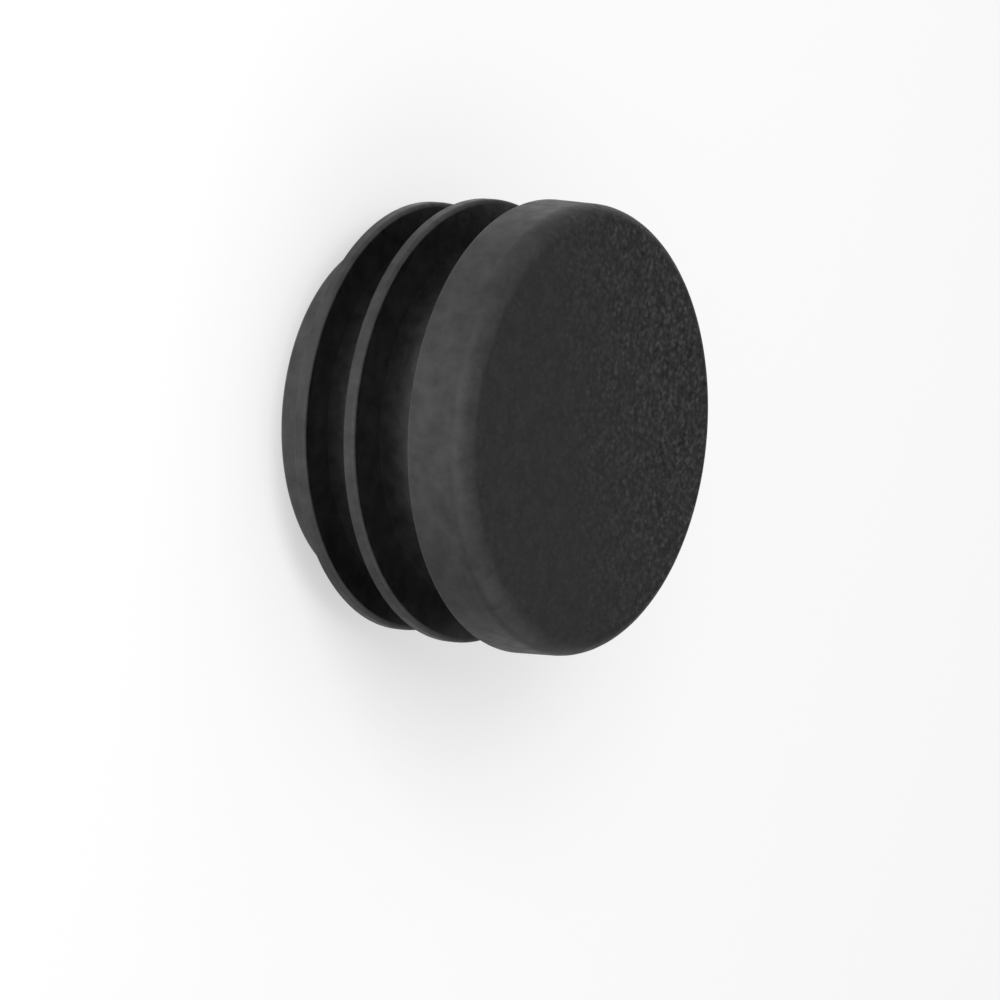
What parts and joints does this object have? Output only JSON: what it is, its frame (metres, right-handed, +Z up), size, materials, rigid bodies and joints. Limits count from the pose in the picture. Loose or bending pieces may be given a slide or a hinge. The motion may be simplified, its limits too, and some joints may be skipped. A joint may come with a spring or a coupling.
{
  "type": "tube end cap",
  "caption": "Round ribbed end cap for a tube: a solid disc head with a soft edge on a hollow spigot with flexible grip fins.",
  "frame": {"origin": "centre of the spigot's open end, on the axis, in the plane of its rim", "axes": "+Z up the axis, out of the head's face; the cap is round about Z, so X and Y are free"},
  "size_m": [0.032, 0.032, 0.0181],
  "materials": {
    "black_polyethylene": "black polyethylene, fine grained face, satin sides"
  },
  "bodies": {
    "root": {"end_cap": "black_polyethylene"}
  },
  "joints": []
}
